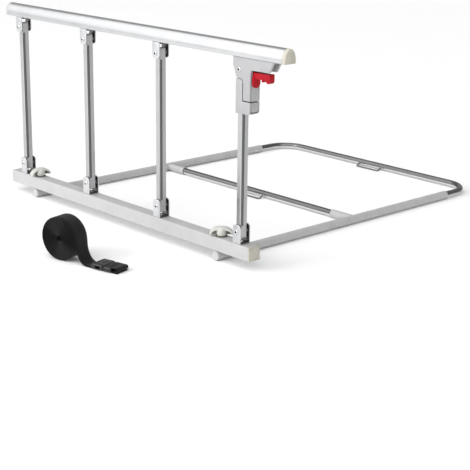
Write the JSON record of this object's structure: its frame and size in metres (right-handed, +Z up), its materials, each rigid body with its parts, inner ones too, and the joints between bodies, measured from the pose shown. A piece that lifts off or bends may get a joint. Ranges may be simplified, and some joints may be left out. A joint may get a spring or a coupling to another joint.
{
  "type": "bed assist rail",
  "caption": "Folding bedside handrail on hinged posts with a red release lever, a base rail, an under-mattress tube frame and a rolled webbing strap.",
  "frame": {"origin": "middle of the base rail's flat inner face, the one towards the mattress; the floor that the side tubes stand on is 35.3 mm below", "axes": "+X along the rails towards the latch end, +Y from the base rail towards the mattress, +Z up"},
  "size_m": [0.9532, 1.1324, 0.4629],
  "materials": {
    "satin_aluminium": "satin extruded and anodised",
    "painted_rail": "white powder coat",
    "painted_frame": "light grey matt powder coat",
    "bracket_steel": "pressed and zinc plated",
    "bright_steel": "bright plated",
    "tube_steel": "drawn tube, semi-bright",
    "ivory_plastic": "moulded, matt",
    "knob_plastic": "moulded, satin",
    "white_plastic": "moulded, matt",
    "grey_plastic": "moulded, matt",
    "latch_silver": "cast, silver grey coat",
    "lever_red": "moulded, semi-gloss",
    "rubber": "matt",
    "webbing": "woven",
    "buckle_black": "moulded, gloss"
  },
  "bodies": {
    "root": {"base_rail": "painted_rail", "base_cap_left": "ivory_plastic", "base_cap_right": "ivory_plastic", "lower_bracket_1": "bracket_steel", "lower_rivet_1": "bright_steel", "bracket_screw_1": "bright_steel", "lower_bracket_2": "bracket_steel", "lower_rivet_2": "bright_steel", "bracket_screw_2": "bright_steel", "lower_bracket_3": "bracket_steel", "lower_rivet_3": "bright_steel", "bracket_screw_3": "bright_steel", "lower_bracket_4": "bracket_steel", "lower_rivet_4": "bright_steel", "bracket_screw_4": "bright_steel", "knob_washer_left": "rubber", "side_tube_left": "painted_frame", "tube_plug_left": "white_plastic", "knob_washer_right": "rubber", "side_tube_right": "painted_frame", "tube_plug_right": "white_plastic", "crossbar": "tube_steel", "end_bow": "tube_steel"},
    "post_link_1": {"post_1": "satin_aluminium", "post_foot_1": "grey_plastic", "post_head_1": "grey_plastic"},
    "post_link_2": {"post_2": "satin_aluminium", "post_foot_2": "grey_plastic", "post_head_2": "grey_plastic"},
    "post_link_3": {"post_3": "satin_aluminium", "post_foot_3": "grey_plastic", "post_head_3": "grey_plastic"},
    "post_link_4": {"post_4": "satin_aluminium", "post_foot_4": "grey_plastic", "latch_collar": "latch_silver"},
    "top_rail": {"handrail": "satin_aluminium", "handrail_cap_left": "white_plastic", "handrail_cap_right": "ivory_plastic", "upper_bracket_1": "bracket_steel", "upper_rivet_1": "bright_steel", "upper_bracket_2": "bracket_steel", "upper_rivet_2": "bright_steel", "upper_bracket_3": "bracket_steel", "upper_rivet_3": "bright_steel", "latch_housing": "latch_silver", "latch_rivet": "bright_steel", "latch_spring": "bright_steel"},
    "release": {"release_lever": "lever_red", "latch_bolt": "bright_steel"},
    "clamp_knob_left": {"knob_left": "knob_plastic", "knob_stud_left": "bright_steel"},
    "button_left": {"snap_button_left": "bright_steel"},
    "clamp_knob_right": {"knob_right": "knob_plastic", "knob_stud_right": "bright_steel"},
    "button_right": {"snap_button_right": "bright_steel"},
    "strap": {"strap_roll": "webbing", "strap_tail": "webbing", "buckle_socket": "buckle_black"},
    "buckle_half": {"buckle_prong": "buckle_black", "strap_end_loop": "webbing"}
  },
  "joints": [
    {"name": "fold_post_1", "type": "hinge", "parent": "root", "child": "post_link_1", "pos_m": [-0.3805, -0.0155, 0.0403], "axis": [0, 1, 0], "range_deg": [0, 82]},
    {"name": "fold_post_2", "type": "hinge", "parent": "root", "child": "post_link_2", "pos_m": [-0.1235, -0.0155, 0.0403], "axis": [0, 1, 0], "range_deg": [0, 82]},
    {"name": "fold_post_3", "type": "hinge", "parent": "root", "child": "post_link_3", "pos_m": [0.1335, -0.0155, 0.0403], "axis": [0, 1, 0], "range_deg": [0, 82]},
    {"name": "fold_post_4", "type": "hinge", "parent": "root", "child": "post_link_4", "pos_m": [0.3905, -0.0155, 0.0403], "axis": [0, 1, 0], "range_deg": [0, 82]},
    {"name": "handrail_level", "type": "hinge", "parent": "post_link_1", "child": "top_rail", "pos_m": [-0.3805, -0.0155, 0.3737], "axis": [0, 1, 0], "range_deg": [-82, 0]},
    {"name": "release_pull", "type": "slide", "parent": "top_rail", "child": "release", "axis": [0, 0, 1], "range_m": [0, 0.009], "stiffness_N_per_m": 400, "springref_m": -0.008, "deforming": ["latch_spring"]},
    {"name": "knob_left_turn", "type": "hinge", "parent": "root", "child": "clamp_knob_left", "pos_m": [-0.33, -0.0155, 0.015], "axis": [0, 0, 1], "continuous": true},
    {"name": "knob_right_turn", "type": "hinge", "parent": "root", "child": "clamp_knob_right", "pos_m": [0.33, -0.0155, 0.015], "axis": [0, 0, 1], "continuous": true},
    {"name": "button_left_press", "type": "slide", "parent": "root", "child": "button_left", "axis": [-1, 0, 0], "range_m": [0, 0.003], "stiffness_N_per_m": 600, "springref_m": -0.004},
    {"name": "button_right_press", "type": "slide", "parent": "root", "child": "button_right", "axis": [1, 0, 0], "range_m": [0, 0.003], "stiffness_N_per_m": 600, "springref_m": -0.004},
    {"name": "strap_lift", "type": "slide", "parent": "root", "child": "strap", "axis": [0, 0, 1], "range_m": [0, 0.15]},
    {"name": "buckle_pull", "type": "slide", "parent": "strap", "child": "buckle_half", "axis": [0.9744, 0.225, 0], "range_m": [0, 0.035]}
  ],
  "couplings": [
    {"joint": "fold_post_2", "follows": "fold_post_1", "ratio": 1},
    {"joint": "fold_post_3", "follows": "fold_post_1", "ratio": 1},
    {"joint": "fold_post_4", "follows": "fold_post_1", "ratio": 1},
    {"joint": "handrail_level", "follows": "fold_post_1", "ratio": -1}
  ]
}
